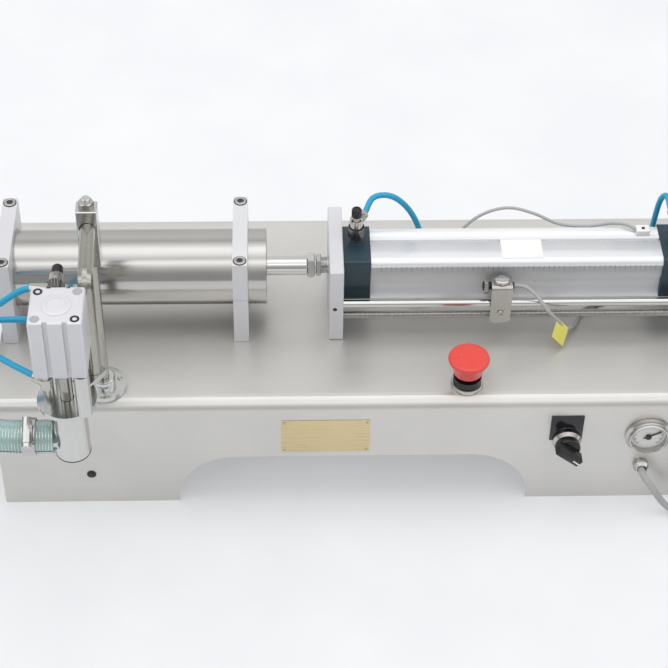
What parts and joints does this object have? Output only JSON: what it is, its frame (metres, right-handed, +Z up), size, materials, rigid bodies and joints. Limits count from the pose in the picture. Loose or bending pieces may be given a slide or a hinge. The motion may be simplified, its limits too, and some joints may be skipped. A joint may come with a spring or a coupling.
{
  "type": "piston liquid filler",
  "caption": "Bench piston filler: an air cylinder drives a piston in a steel tube, and check valves and a hose feed a nozzle held over the front on a post.",
  "frame": {"origin": "under the middle of the machine's bounding box, on the surface that it stands on, with its mains lead left out", "axes": "+X along both cylinders from the valve block to the handwheel, -Y to the operator and the nozzle, +Z up"},
  "size_m": [0.8839, 0.386, 0.369],
  "materials": {
    "brushed_steel": "brushed",
    "polished_steel": "polished",
    "white_alloy": "white anodised, matt",
    "barrel_alloy": "satin anodised",
    "cap_blue": "satin",
    "black_plastic": "satin",
    "nickel": "satin nickel plate",
    "red_plastic": "satin",
    "air_tube_blue": "glossy",
    "hose_pvc": "clear, wire reinforced",
    "grey_cord": "matt",
    "seal_ptfe": "matt"
  },
  "bodies": {
    "machine": {"base_cover": "brushed_steel", "material_tube": "brushed_steel", "cylinder_head": "brushed_steel", "valve_block": "brushed_steel", "arm_block": "brushed_steel", "guide_rod": "polished_steel", "stand_flange": "polished_steel", "stand_post": "polished_steel", "nozzle_arm": "polished_steel", "nozzle_body": "polished_steel", "outlet_barb": "polished_steel", "inlet_barb": "polished_steel", "clamp_1_lower": "white_alloy", "clamp_1_upper": "white_alloy", "clamp_2_lower": "white_alloy", "clamp_2_upper": "white_alloy", "drive_plate": "white_alloy", "rear_plate": "white_alloy", "nozzle_cylinder": "white_alloy", "drive_barrel": "barrel_alloy", "solenoid_valve": "barrel_alloy", "drive_front_cap": "cap_blue", "drive_rear_cap": "cap_blue", "estop_base": "black_plastic", "mains_plug": "black_plastic", "nozzle_lower_fitting": "black_plastic", "front_fitting": "nickel", "rear_fitting": "nickel", "nozzle_fitting": "nickel", "selector_body": "nickel", "gauge_case": "nickel", "cord_gland": "nickel", "hose_clamp": "nickel", "front_air_tube": "air_tube_blue", "rear_air_tube": "air_tube_blue", "upper_air_tube": "air_tube_blue", "lower_air_tube": "air_tube_blue", "product_hose": "hose_pvc", "sensor_cable": "grey_cord", "mains_cord": "grey_cord", "cord_coil": "grey_cord"},
    "ram": {"material_piston": "polished_steel", "piston_seal": "seal_ptfe", "piston_rod": "polished_steel", "lock_nut": "nickel", "drive_rod": "polished_steel"},
    "outlet_poppet": {"outlet_valve": "seal_ptfe"},
    "inlet_poppet": {"inlet_valve": "seal_ptfe"},
    "screw": {"lead_screw": "brushed_steel", "handwheel": "black_plastic"},
    "carriage": {"sensor_carriage": "polished_steel", "stroke_sensor": "black_plastic"},
    "stop_plunger": {"estop_stem": "black_plastic"},
    "stop_head": {"estop_head": "red_plastic"},
    "selector": {"selector_knob": "black_plastic"},
    "needle": {"gauge_needle": "black_plastic"},
    "front_flow_screw": {"front_knob": "black_plastic"},
    "rear_flow_screw": {"rear_knob": "black_plastic"},
    "nozzle_flow_screw": {"nozzle_knob": "black_plastic"},
    "nozzle_plunger": {"nozzle_stem": "polished_steel"}
  },
  "joints": [
    {"name": "fill_stroke", "type": "slide", "parent": "machine", "child": "ram", "axis": [-1, 0, 0], "range_m": [0, 0.235]},
    {"name": "outlet_valve_lift", "type": "slide", "parent": "machine", "child": "outlet_poppet", "axis": [0, -1, 0], "range_m": [0, 0.005], "stiffness_N_per_m": 60, "springref_m": -0.008},
    {"name": "inlet_valve_lift", "type": "slide", "parent": "machine", "child": "inlet_poppet", "axis": [0, -1, 0], "range_m": [0, 0.005], "stiffness_N_per_m": 60, "springref_m": -0.008},
    {"name": "adjuster_turn", "type": "hinge", "parent": "machine", "child": "screw", "pos_m": [0.1849, 0.015, 0.1635], "axis": [1, 0, 0], "range_deg": [-47530, 40330]},
    {"name": "sensor_travel", "type": "slide", "parent": "machine", "child": "carriage", "axis": [1, 0, 0], "range_m": [-0.134, 0.165], "deforming": ["sensor_cable"]},
    {"name": "stop_press", "type": "slide", "parent": "machine", "child": "stop_plunger", "axis": [0, 0, -1], "range_m": [0, 0.0045], "stiffness_N_per_m": 2000, "springref_m": -0.005},
    {"name": "stop_twist", "type": "hinge", "parent": "stop_plunger", "child": "stop_head", "pos_m": [0.1441, -0.0595, 0.16], "axis": [0, 0, 1], "range_deg": [-45, 0], "stiffness_Nm_per_rad": 0.05},
    {"name": "selector_turn", "type": "hinge", "parent": "machine", "child": "selector", "pos_m": [0.2439, -0.094, 0.087], "axis": [0, 1, 0], "range_deg": [-90, 0]},
    {"name": "gauge_needle_turn", "type": "hinge", "parent": "machine", "child": "needle", "pos_m": [0.3242, -0.087, 0.092], "axis": [0, 1, 0], "range_deg": [-197, 73], "stiffness_Nm_per_rad": 0.0005},
    {"name": "front_flow_turn", "type": "hinge", "parent": "machine", "child": "front_flow_screw", "pos_m": [0.0382, 0.0595, 0.26], "axis": [0, 0, 1], "range_deg": [-1080, 1080]},
    {"name": "rear_flow_turn", "type": "hinge", "parent": "machine", "child": "rear_flow_screw", "pos_m": [0.3547, 0.0595, 0.26], "axis": [0, 0, 1], "range_deg": [-1080, 1080]},
    {"name": "nozzle_flow_turn", "type": "hinge", "parent": "machine", "child": "nozzle_flow_screw", "pos_m": [-0.2326, -0.104, 0.3373], "axis": [0, 1, 0], "range_deg": [-1080, 1080]},
    {"name": "nozzle_lift", "type": "slide", "parent": "machine", "child": "nozzle_plunger", "axis": [0, 0, 1], "range_m": [0, 0.02]}
  ],
  "couplings": [
    {"joint": "adjuster_turn", "follows": "sensor_travel", "rad_per_m": -5026.5}
  ]
}
